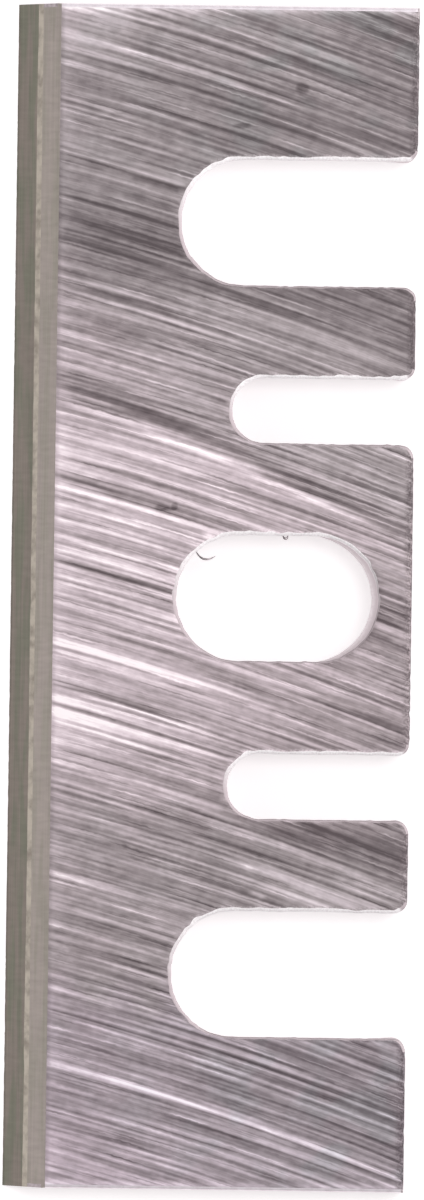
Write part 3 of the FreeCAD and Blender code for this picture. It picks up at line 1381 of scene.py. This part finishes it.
@dataclass(frozen=True)
class Grit:
    """The many fine lines that a grinding wheel leaves, drawn at random.

    Attributes:
        count: How many there are.
        margin: How far past the knife's ends they start.
        middles: Y between which their middles lie.
        lengths, widths: Their usual measure, and its spread.
        tone, turn: Spread of their tones, and of their turns from the lay.
        flank: How far their flanks differ.
    """

    count: int = 6000
    margin: float = 5.0
    middles: Span = (-15.0, 17.0)
    lengths: Span = (12.0, 0.5)
    widths: Span = (0.33, 0.35)
    tone: float = 0.068
    turn: float = 0.004
    flank: float = 1.3

    def scores(self, half: float) -> list[Score]:
        """Draws the lines.

        Args:
            half: Half the knife's length.

        Returns:
            The lines, the same on every run.
        """
        rng = np.random.default_rng(Seed.SCORES)
        places = rng.uniform(-half - self.margin, half + self.margin, self.count)
        middles = rng.uniform(*self.middles, self.count)
        measures = (self.lengths, self.widths)
        lengths, widths = (rng.lognormal(math.log(usual), spread, self.count) for usual, spread in measures)
        tones, turns = (rng.normal(0, spread, self.count) for spread in (self.tone, self.turn))
        return [Score(*values, self.flank) for values in zip(places, middles, lengths, widths, tones, turns)]


class Grinding:
    """A face while it is ground: how deep each place is, and how its tone has changed."""

    SIDE_FALL = 1.4  # how quickly a line fades to its sides
    END_FALL = 1.15  # above 1, a line keeps its strength past its middle
    DEPTH = 10.0  # how deep a line goes for its tone
    FLANK_SHADE = 0.6  # how much tone uneven flanks take

    def __init__(self, lay: Lay, x: np.ndarray, y: np.ndarray) -> None:
        """Sorts the face's places by their measure across the lay.

        Args:
            lay: The course of the lines.
            x, y: The places.
        """
        self.across, self.y = lay.across(x, y), y
        self.order = np.argsort(self.across)
        self.ranked = self.across[self.order]
        self.depth, self.tone = np.zeros(len(x)), np.zeros(len(x))

    def cut(self, scores: Sequence[Score], limits: Span) -> None:
        """Grinds lines.

        Args:
            scores: The lines.
            limits: Between what the tones then stay.
        """
        for score in scores:
            reach = score.width + abs(score.turn) * score.length / 2
            first, last = np.searchsorted(self.ranked, (score.at - reach, score.at + reach))
            near = self.order[first:last]
            past = self.y[near] - score.y
            along = past / (score.length / 2)
            side = (self.across[near] - score.at - score.turn * past) / (score.width / 2)
            shape = np.exp(-self.SIDE_FALL * side * side) * np.clip(self.END_FALL - along * along, 0, 1)
            self.depth[near] += shape * abs(score.tone) * self.DEPTH
            self.tone[near] += shape * score.tone * (1 - score.flank * self.FLANK_SHADE + score.flank * side)
        self.tone = np.clip(self.tone, *limits)


@dataclass
class SteelBack:
    """The slotted back of mild steel, its ground face, slots and bevel.

    Attributes:
        blade: The knife's section.
        mouth_radius: Radius of the open slots' corners at the heel.
        end_break, end_round: Size of the broken end edges, and how far in and down their middle is, as
            shares of that.
        bolt_pitch, bolt_reach, bolt_y, bolt_travel: The bolt slots' pitch, half width and round ends'
            centres: their Y, and how far apart those of the closed slot are.
        screw_offset, screw_reach, screw_y: The same for the screw slots, from the knife's middle.
        lay: The course of the grinding lines.
        face_steps, flat_steps: Size of the triangles across and along the lay, on face and flat side.
        groove_depth, deepest: Depth of a line, and of the deepest places in shares of it.
        fine_limits, bold_limits: Limits of the tones, from the fine lines and in all.
        heel_tone: How much darker painted shade makes the heel's rim.
        grit: The fine lines.
        shades: Broad paler and darker areas.
        standouts: The boldest lines and the specks.
    """

    blade: Blade
    mouth_radius: float = 0.9
    end_break: float = 0.25
    end_round: Place = (0.28, 0.2)
    bolt_pitch: float = 26.0
    bolt_reach: float = 4.35
    bolt_y: float = 1.95
    bolt_travel: float = 5.3
    screw_offset: float = 13.0
    screw_reach: float = 2.25
    screw_y: float = 3.55
    lay: Lay = Lay()
    face_steps: Place = (0.1, 0.5)
    flat_steps: Place = (0.35, 0.8)
    groove_depth: float = 0.006
    deepest: float = 2.2
    fine_limits: Span = (-0.24, 0.2)
    bold_limits: Span = (-0.36, 0.46)
    heel_tone: float = -0.1
    grit: Grit = Grit()
    shades: tuple[Score, ...] = (
        Score(-43.5, 13.0, 13, 6, -0.12),
        Score(-39.4, -3.5, 12, 5, 0.06),
        Score(-37.6, -10.5, 10, 6, 0.18),
        Score(-32.8, 3.0, 17, 6, -0.08),
        Score(-21.7, -9.0, 11, 5, -0.09),
        Score(-20.4, 8.5, 8, 2.4, 0.1),
        Score(-23.6, 0.0, 22, 4.4, -0.12),
        Score(-2.8, 10.5, 13, 5, -0.13),
        Score(10.5, 10.0, 20, 9, -0.12),
        Score(11.3, -9.5, 10, 5, 0.09),
        Score(3.8, 13.0, 15, 12, -0.08),
        Score(15.5, 2.0, 12, 6, -0.05),
        Score(14.0, 10.5, 14, 4, -0.12),
        Score(17.8, 8.0, 14, 2.6, 0.15),
        Score(19.8, 2.0, 7, 4, -0.07),
        Score(33.0, -2.0, 24, 6, -0.03),
    )
    standouts: tuple[Score, ...] = (
        Score(-34.7, -4.0, 17, 0.5, -0.12),
        Score(-24.1, -6.0, 12, 0.3, 0.16),
        Score(-18.2, 0.0, 16, 0.3, 0.17),
        Score(-10.2, -4.5, 16, 0.8, 0.12, 0.08),
        Score(-10.7, 1.5, 34, 1.3, -0.16, 0.1),
        Score(-9.3, 5.0, 22, 0.5, 0.16, 0.09),
        Score(-5.3, -4.5, 20, 0.36, -0.3),
        Score(-4.2, -0.2, 1.1, 0.5, 0.3),
        Score(0.5, -6.5, 14, 0.4, -0.27),
        Score(4.0, -8.0, 12, 0.36, -0.22),
        Score(6.2, -4.0, 20, 0.4, 0.20),
        Score(9.1, -7.0, 13, 0.3, -0.26),
        Score(9.8, -6.0, 12, 0.3, 0.2),
        Score(16.5, -2.0, 24, 0.36, -0.16),
        Score(17.7, 2.8, 0.9, 0.42, 0.22),
        Score(19.4, 3.55, 0.9, 0.4, 0.25),
        Score(33.9, 1.0, 20, 0.3, 0.18),
        Score(34.6, -7.0, 12, 0.3, 0.17),
        Score(35.3, 1.0, 34, 0.42, 0.48),
        Score(38.0, -3.0, 18, 0.4, 0.14),
    )

    @property
    def cut(self) -> CutWall:
        """How the heel and the slots are cut."""
        return CutWall(self.blade)

    @property
    def middle_slot(self) -> Slot:
        """The closed slot for the middle bolt."""
        return Slot(0.0, self.bolt_reach, self.bolt_y, self.bolt_y + self.bolt_travel)

    @property
    def open_slots(self) -> tuple[Slot, ...]:
        """The slots that open at the heel.

        Returns:
            The slots from left to right.
        """
        bolts = [Slot(side * self.bolt_pitch, self.bolt_reach, self.bolt_y) for side in (-1, 1)]
        screws = [Slot(side * self.screw_offset, self.screw_reach, self.screw_y) for side in (-1, 1)]
        return bolts[0], *screws, bolts[1]

    def _heel_line(self) -> RimLine:
        """Follows the heel and its open slots.

        Returns:
            The line from one end break to the other.
        """
        step, heel = self.blade.step, self.blade.heel
        reach = self.blade.half - self.end_break
        lines, x = [], -reach
        for slot in self.open_slots:
            mouth = slot.x - slot.reach - self.mouth_radius
            lines.append(RimLine.straight((x, heel), (mouth, heel), (0, 1), step))
            lines.append(slot.notch(heel, self.mouth_radius, step))
            x = slot.x + slot.reach + self.mouth_radius
        lines.append(RimLine.straight((x, heel), (reach, heel), (0, 1), step))
        lines.append(RimLine(np.array([[reach, heel]]), np.array([[0.0, 1.0]])))
        return RimLine.joined(lines)

    def _front_points(self, x: np.ndarray) -> tuple[np.ndarray, int]:
        """Gives the points of the bevel and of the rebate behind it.

        Args:
            x: Places along the knife.

        Returns:
            The points, one row along the knife for each step from the face to the flat side, and how
            many of the rows are the bevel's.
        """
        blade = self.blade
        slope = blade.slope_points(blade.thickness, blade.roof)
        hidden = blade.rebate_points()
        rows = blade.swept(np.concatenate([slope, hidden[1:]]), x)
        share = np.linspace(0, 1, len(slope))[:, None]
        blade.grind(rows[:len(slope)], blade.waver(x, Seed.SEAM_TOP) * share, np.sign(share))
        return rows, len(slope)

    def _ground(self, x: np.ndarray, y: np.ndarray) -> tuple[np.ndarray, np.ndarray]:
        """Grinds the face.

        Args:
            x, y: Places on the face.

        Returns:
            How deep the face is ground at the places, and how its tone changes there.
        """
        face = Grinding(self.lay, x, y)
        face.cut(self.grit.scores(self.blade.half), self.fine_limits)
        face.cut((*self.shades, *self.standouts), self.bold_limits)
        return self.groove_depth * np.minimum(face.depth, self.deepest), face.tone

    def build(self) -> bpy.types.Object:
        """Makes the back and takes the solid's place.

        Returns:
            The finished piece.
        """
        blade, cut, mesher = self.blade, self.cut, Mesher()
        front_points, bevel_rows = self._front_points(blade.stations(blade.half - self.end_break))
        front = mesher.add(front_points)
        heel_line, ring_line = self._heel_line(), self.middle_slot.ring(blade.step)
        heel = mesher.add(cut.points(heel_line, Seed.HEEL))
        ring = mesher.add(cut.points(ring_line, Seed.MIDDLE_SLOT))
        ends = [self._end(mesher, side, front, heel) for side in (-1, 1)]
        face_loops, flat_loops = (
            [np.concatenate([front[row], right, heel[row][::-1], left[::-1]]), ring[row]]
            for row, (left, right) in zip((0, -1), zip(*ends))
        )
        face = self._fill(mesher, face_loops, self.lay, self.face_steps, KnifeFinish.FACE)
        self._fill(mesher, flat_loops, Lay(0.0, 0.0), self.flat_steps, KnifeFinish.FLAT_SIDE)
        mesher.wall(front[:bevel_rows], KnifeFinish.BEVEL)
        mesher.wall(front[bevel_rows - 1:], KnifeFinish.WALL)
        rim = len(cut.rim)
        mesher.wall(ring[:rim], KnifeFinish.RIM, closed=True)
        mesher.wall(ring[rim - 1:], KnifeFinish.SLOT_WALL, closed=True)
        at_heel = cut.past_heel(heel_line) < AT_HEEL
        self._close_heel(mesher, heel, at_heel)
        tone, pale = np.zeros((2, len(mesher.points)))
        depth, tone[face] = self._ground(*mesher.points[face, :2].T)
        # Painted shade darkens the heel's rim, where it faces the lamp.
        tone[heel[:rim]] = self.heel_tone * at_heel
        # Painted light on the rims and slot walls, which the mesh carries to their finishes.
        for line, numbers in ((heel_line, heel), (ring_line, ring)):
            pale[numbers] = cut.marks(line)
        mesher.lower(face, depth)
        piece = mesher.build("ground_back", {SCORE_ATTRIBUTE: tone, PAINTED_LIGHT_ATTRIBUTE: pale})
        return settle(piece, "knife_body")

    @staticmethod
    def _fill(
        mesher: Mesher, loops: Sequence[np.ndarray], lay: Lay, steps: Place, finish: KnifeFinish
    ) -> np.ndarray:
        """Fills a level region, its triangles drawn out along a lay.

        Args:
            mesher: Collects the faces.
            loops: Point numbers of the region's outline and holes.
            lay: The lay.
            steps: Size of the triangles across the lay and along it.
            finish: The region's finish.

        Returns:
            The numbers of all points of the region.
        """
        step = np.array(steps)
        height = mesher.points[loops[0][0], 2]
        return mesher.fill(
            loops,
            lambda points: lay.flattened(points, step),
            lambda flat: lay.lifted(flat, step, height),
            finish,
        )

    def _close_heel(self, mesher: Mesher, heel: np.ndarray, at_heel: np.ndarray) -> None:
        """Adds the wall along the heel and round its slots, with its broken rims.

        Args:
            mesher: Collects the faces.
            heel: Numbers of the heel's rows.
            at_heel: Tells which points of a row lie on the heel itself.
        """
        rim, foot = len(self.cut.rim), len(self.cut.foot)
        turns = np.flatnonzero(np.diff(at_heel.astype(int))) + 1
        for first, last in zip([0, *turns], [*turns, len(at_heel) - 1]):
            run = heel[:, first:last + 1]
            if at_heel[first]:
                mesher.wall(run[:rim], KnifeFinish.FACE)
                mesher.wall(run[rim - 1:1 - foot], KnifeFinish.WALL)
                mesher.wall(run[-foot:], KnifeFinish.LOWER_RIM)
            else:
                mesher.wall(run[:rim], KnifeFinish.RIM)
                mesher.wall(run[rim - 1:], KnifeFinish.SLOT_WALL)

    def _end(
        self, mesher: Mesher, side: int, front: np.ndarray, heel: np.ndarray
    ) -> tuple[np.ndarray, np.ndarray]:
        """Closes one end of the back.

        Args:
            mesher: Collects the faces.
            side: -1 or 1, the end.
            front: Numbers of the front's rows.
            heel: Numbers of the heel's rows.

        Returns:
            The numbers along the end of the face and of the flat side, from front to heel.
        """
        column = -1 if side > 0 else 0
        x = side * (self.blade.half - self.end_break)
        heel_rim = self.blade.heel - self.cut.rim_break
        edges = []
        for start, height in ((self.blade.bevel_top, self.blade.thickness), (self.blade.shoulder, 0.0)):
            y = line_points([(start, 0.0), (heel_rim, 0.0)], self.face_steps[1])[1:-1, 0]
            edges.append(mesher.add(np.column_stack([np.full(len(y), x), y, np.full(len(y), height)])))
        section = np.concatenate([edges[0], heel[:, column], edges[1][::-1], front[::-1, column]])
        outer = mesher.points[section]
        outer[:, 0] = side * self.blade.half
        outer[:, 2] = np.minimum(outer[:, 2], self.blade.thickness - self.end_break)
        middle = outer.copy()
        inward, down = (share * self.end_break for share in self.end_round)
        middle[:, 0] -= side * inward
        middle[:, 2] = np.minimum(mesher.points[section, 2], self.blade.thickness - down)
        middle_numbers, outer_numbers = mesher.add(middle), mesher.add(outer)
        broken = len(edges[0]) + 1
        high = int((mesher.points[front[:, column], 2] > self.blade.thickness - self.end_break).sum())
        rows = np.stack([section, middle_numbers, outer_numbers])
        mesher.wall(rows[:, -high - 1:], KnifeFinish.BEVEL)
        mesher.wall(np.concatenate([rows[:, -1:], rows[:, :broken]], axis=1), KnifeFinish.END_BREAK)
        mesher.wall(rows[:, broken - 1:len(section) - high], KnifeFinish.WALL)
        mesher.cap(outer_numbers, KnifeFinish.WALL)
        return edges[0], edges[1]


def settle(piece: bpy.types.Object, node: str | None = None) -> bpy.types.Object:
    """Fixes a piece to the knife.

    Args:
        piece: The piece, in place.
        node: The solid that it stands for.

    Returns:
        The piece.
    """
    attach(piece, BODY)
    if node:
        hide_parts(node)
    LOG.info("%s: %d faces", piece.name, len(piece.data.polygons))
    return piece


@dataclass
class CuttingStrip:
    """The hard strip whose ground front ends in the cutting edge.

    Attributes:
        blade: The knife's section.
        flat_step: Longest run across its flat side.
        nick_depth, nick_wave, nick_fade: Depth and length of the nicks in the cutting edge, and how
            quickly they end up the bevel.
    """

    blade: Blade
    flat_step: float = 0.5
    nick_depth: float = 0.012
    nick_wave: float = 0.4
    nick_fade: float = 9.0

    def build(self) -> bpy.types.Object:
        """Makes the strip and takes the solid's place.

        Returns:
            The finished piece.
        """
        blade, mesher = self.blade, Mesher()
        x = blade.stations(blade.half)
        slope = blade.slope_points(0.0, blade.strip_thickness)
        top, back = blade.strip_thickness, blade.strip_back
        hidden = line_points([(top + blade.front, top), (back, top), (back, 0.0)], blade.hidden_step)
        flat = line_points([(back, 0.0), (blade.front, 0.0)], self.flat_step)
        rows = blade.swept(np.concatenate([slope, hidden[1:], flat[1:-1]]), x)
        share = np.linspace(0, 1, len(slope))[:, None]
        nicks = np.abs(blade.course(Seed.EDGE_NICKS, self.nick_wave, x))
        edge = np.exp(-share * self.nick_fade) * self.nick_depth * nicks
        blade.grind(rows[:len(slope)], blade.waver(x, Seed.SEAM_FOOT) * share, np.sign(share))
        rows[:len(slope), :, 1] += edge
        numbers = mesher.add(rows)
        bands = (
            (len(slope) - 1, KnifeFinish.EDGE_STEEL),
            (len(hidden) - 1, KnifeFinish.WALL),
            (len(flat) - 1, KnifeFinish.STRIP_FLAT),
        )
        mesher.sweep(numbers, bands, KnifeFinish.WALL)
        return settle(mesher.build("hard_strip"), "cutting_strip")


@dataclass
class BrazeSeam:
    """The brazing filler between strip and back, which shows as a thin wavering line."""

    blade: Blade
    foot_step: float = 0.1

    def build(self) -> bpy.types.Object:
        """Makes the seam and takes the solid's place.

        Returns:
            The finished piece.
        """
        blade, mesher = self.blade, Mesher()
        x = blade.stations(blade.half)
        slope = blade.slope_points(blade.strip_thickness, blade.roof)
        low, back = blade.strip_thickness, blade.strip_back
        over = blade.rebate_points()
        foot = line_points([(blade.shoulder, 0.0), (back, 0.0)], self.foot_step)
        under = line_points([(back, 0.0), (back, low), (low + blade.front, low)], blade.hidden_step)
        rows = blade.swept(np.concatenate([slope, over[1:], foot[1:], under[1:-1]]), x)
        share = np.linspace(0, 1, len(slope))[:, None]
        stray = blade.waver(x, Seed.SEAM_FOOT) * (1 - share) + blade.waver(x, Seed.SEAM_TOP) * share
        blade.grind(rows[:len(slope)], stray)
        numbers = mesher.add(rows)
        mesher.sweep(numbers, [(len(rows), KnifeFinish.BRAZE)], KnifeFinish.BRAZE)
        return settle(mesher.build("braze_line"), "braze_seam")


@dataclass(frozen=True)
class Burr:
    """A thin curl of steel left on a slot's rim.

    Attributes:
        name: The piece's name.
        radius: Its greatest radius, in millimetres.
        path: The line it follows.
        finish: Its finish.
        sides, steps: Points round it and along it.
        smoothing: How often its line is smoothed.
        tip, swell: Share of the radius at its tips, and how quickly it swells from there: fastest at 0.
        lumps: How much its radius varies, and how many steps a lump has.
    """

    SMOOTHER = (0.25, 0.5, 0.25)

    name: str
    radius: float
    path: tuple[tuple[float, float, float], ...]
    finish: KnifeFinish = KnifeFinish.BURR
    sides: int = 10
    steps: int = 24
    smoothing: int = 6
    tip: float = 0.12
    swell: float = 0.7
    lumps: Span = (0.12, 3.0)

    def build(self) -> bpy.types.Object:
        """Makes the burr.

        Returns:
            The finished piece.
        """
        knots = np.array(self.path)
        place = np.linspace(0, len(knots) - 1, self.steps)
        line = np.stack([np.interp(place, range(len(knots)), knots[:, axis]) for axis in range(3)], -1)
        for _ in range(self.smoothing):
            for axis in range(3):
                line[1:-1, axis] = np.convolve(line[:, axis], self.SMOOTHER, "valid")
        along = np.gradient(line, axis=0)
        along /= np.linalg.norm(along, axis=1)[:, None]
        side = np.cross(along, (0.0, 0.0, 1.0))
        side /= np.linalg.norm(side, axis=1)[:, None]
        rise = np.cross(side, along)
        swelling = np.sin(np.linspace(0.0, math.pi, self.steps)) ** self.swell
        uneven, wave = self.lumps
        taper = self.radius * (self.tip + (1 - self.tip) * swelling)
        taper *= 1 + uneven * held(Wander(Seed.BURR, wave, self.steps).at(np.arange(self.steps)))
        turn = np.linspace(0, 2 * math.pi, self.sides, endpoint=False)
        outward = np.cos(turn)[:, None] * side[:, None]
        upward = np.sin(turn)[:, None] * rise[:, None]
        rings = line[:, None] + taper[:, None, None] * (outward + upward)
        mesher = Mesher()
        numbers = mesher.add(rings)
        mesher.wall(numbers, self.finish, closed=True)
        for ring in (numbers[0], numbers[-1]):
            mesher.keep(ring[None, :], self.finish)
        return settle(mesher.build(self.name))


SLOT_BURRS = (
    Burr("slot_curl", 0.075, (
        (-3.22, -1.10, 2.78), (-2.86, -0.85, 2.88), (-2.67, -0.57, 2.90), (-2.64, -0.16, 2.90),
        (-2.90, 0.31, 2.86),
    )),
    Burr("slot_nub", 0.085, (
        (-4.50, 4.92, 2.86), (-4.20, 4.98, 2.88), (-4.14, 5.20, 2.88), (-4.46, 5.30, 2.86),
    )),
)

# The studio


@dataclass
class Studio:
    """A plain pale floor, soft light from above the knife's left end, and the camera over it.

    Attributes:
        picture_height: How much of the knife's length the picture holds, in millimetres.
        lean: How far the camera is turned about its line of sight, in degrees.
        aim_right, aim_up, distance, face_height: The camera's aim in the picture, its distance from the
            face, and the face's height, in millimetres.
        clip: Nearest and farthest distance that the camera sees, in metres.
        ambient: Strength of the background's light.
        lamp_power, lamp_place, lamp_size: The lamp, in watts and metres.
        floor_reach: Half the floor's side, in metres.
        floor_paint, floor_roughness, floor_shine: The floor's colour, and how dull and shiny it is.
        floor_glow: How bright the floor looks of itself.
    """

    picture_height: float = 83.04
    lean: float = 0.82
    aim_right: float = 0.083
    aim_up: float = -0.152
    distance: float = 800.0
    face_height: float = 3.0
    clip: Span = (0.01, 10.0)
    ambient: float = 0.52
    lamp_power: float = 2.45
    lamp_place: tuple[float, float, float] = (-0.12, 0.31, 0.9)
    lamp_size: float = 0.4
    floor_reach: float = 3.0
    floor_paint: Colour = (0.90, 0.885, 0.89, 1.0)
    floor_roughness: float = 0.9
    floor_shine: float = 0.1
    floor_glow: Colour = (0.46, 0.44, 0.443, 1.0)

    def build(self) -> None:
        """Sets up camera, lamp, floor and background."""
        self._place_camera()
        self._place_lamp()
        self._lay_floor()
        self._light_background()
        bpy.context.scene.view_settings.view_transform = "Standard"

    def _place_camera(self) -> None:
        """Puts the camera straight over the knife, leaning as the photograph does."""
        lean = math.radians(self.lean)
        right = Vector((-math.sin(lean), math.cos(lean), 0.0))
        up = Vector((-math.cos(lean), -math.sin(lean), 0.0))
        aim = right * self.aim_right + up * self.aim_up
        place = (aim + Vector((0.0, 0.0, self.face_height + self.distance))) * MM
        lens = bpy.data.cameras.new("studio_camera")
        lens.lens = lens.sensor_width * self.distance / self.picture_height
        lens.clip_start, lens.clip_end = self.clip
        camera = placed("studio_camera", lens)
        axes = Matrix((right, up, right.cross(up))).transposed()
        camera.matrix_world = Matrix.Translation(place) @ axes.to_4x4()
        bpy.context.scene.camera = camera

    def _place_lamp(self) -> None:
        """Hangs a broad lamp over the knife's -X end and heel, which the photograph has at its top right."""
        lamp = bpy.data.lights.new("soft_lamp", "AREA")
        lamp.shape, lamp.size, lamp.energy = "DISK", self.lamp_size, self.lamp_power
        holder = placed("soft_lamp", lamp)
        place = Vector(self.lamp_place)
        holder.matrix_world = Matrix.Translation(place) @ place.to_track_quat("Z", "Y").to_matrix().to_4x4()

    def _seen(self, shader: Shader) -> Value:
        """Tells looks at the surface from light that only bounces off it.

        Args:
            shader: Writes the tree.

        Returns:
            1 for a camera, mirror or glass ray, else 0.
        """
        rays = shader.node("ShaderNodeLightPath").outputs
        seen = Value(shader, rays["Is Camera Ray"])
        for name in ("Is Glossy Ray", "Is Transmission Ray"):
            seen = seen.highest(Value(shader, rays[name]))
        return seen

    def _lay_floor(self) -> None:
        """Lays the floor, which looks white but keeps the knife's shadow."""
        mesh = bpy.data.meshes.new("floor")
        reach = self.floor_reach
        corners = [(-reach, -reach, 0), (reach, -reach, 0), (reach, reach, 0), (-reach, reach, 0)]
        mesh.from_pydata(corners, [], [(0, 1, 2, 3)])
        material = bpy.data.materials.new("pale_floor")
        shader = Shader(material)
        glow = shader.blend(self._seen(shader), (0, 0, 0, 1), self.floor_glow)
        paint = shader.node(
            "ShaderNodeBsdfPrincipled", None,
            {"Base Color": self.floor_paint, "Roughness": self.floor_roughness, "Emission Color": glow,
             "Emission Strength": 1.0, "Specular IOR Level": self.floor_shine},
        )
        clear = shader.node("ShaderNodeBsdfTransparent")
        below = shader.node("ShaderNodeNewGeometry").outputs["Backfacing"]
        mixed = shader.node("ShaderNodeMixShader", None, {0: below, 1: paint.outputs[0], 2: clear.outputs[0]})
        shader.node("ShaderNodeOutputMaterial", None, {"Surface": mixed.outputs[0]})
        mesh.materials.append(material)
        placed("floor", mesh)

    def _light_background(self) -> None:
        """Makes the background a plain soft light."""
        world = bpy.data.worlds.new("studio")
        shader = Shader(world)
        light = shader.node("ShaderNodeBackground", None, {"Color": (1.0,) * 4, "Strength": self.ambient})
        shader.node("ShaderNodeOutputWorld", None, {"Surface": light.outputs["Background"]})
        bpy.context.scene.world = world


def main() -> None:
    """Builds the studio and the knife's pieces in order."""
    logging.basicConfig(level=logging.INFO, format="%(name)s: %(message)s")
    Studio().build()
    blade = Blade.measured()
    SteelBack(blade).build()
    CuttingStrip(blade).build()
    BrazeSeam(blade).build()
    for burr in SLOT_BURRS:
        burr.build()


if __name__ == "__main__":
    main()
